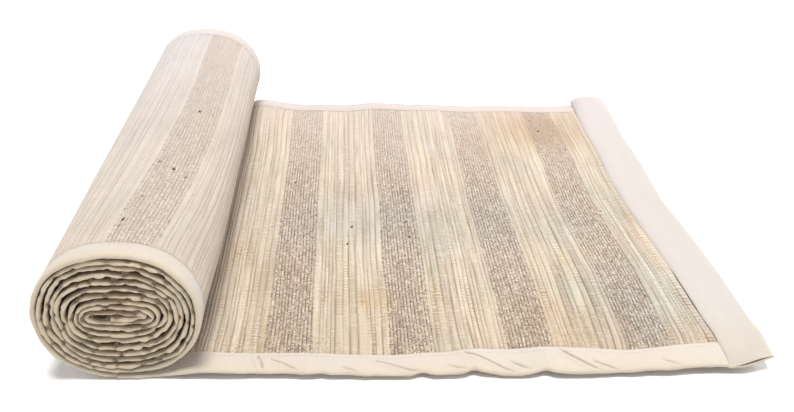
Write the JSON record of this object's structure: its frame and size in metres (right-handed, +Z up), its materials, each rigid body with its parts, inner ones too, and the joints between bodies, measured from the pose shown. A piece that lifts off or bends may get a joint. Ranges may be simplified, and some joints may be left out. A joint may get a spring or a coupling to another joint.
{
  "type": "rolled woven floor mat",
  "caption": "Long striped cotton floor mat, half rolled up, with taped long edges and a wide cloth band over its free end.",
  "frame": {"origin": "middle of the mat's own outline, on the plane that it lies on", "axes": "+Z up; X along the mat, with the roll on the -X side and the free end on the +X side; Y across the mat, with the end of the roll that the picture shows on the -Y side"},
  "size_m": [0.6462, 0.6218, 0.1239],
  "materials": {
    "striped_weave": "ribbed undyed cotton weave with speckled mauve-brown stripes, matte",
    "tape_cotton": "plain cream cotton tape, matte",
    "band_cotton": "plain cream cotton cloth, matte"
  },
  "bodies": {
    "root": {"mat_body": "striped_weave", "front_edge_tape": "tape_cotton", "back_edge_tape": "tape_cotton", "end_band": "band_cotton"}
  },
  "joints": []
}
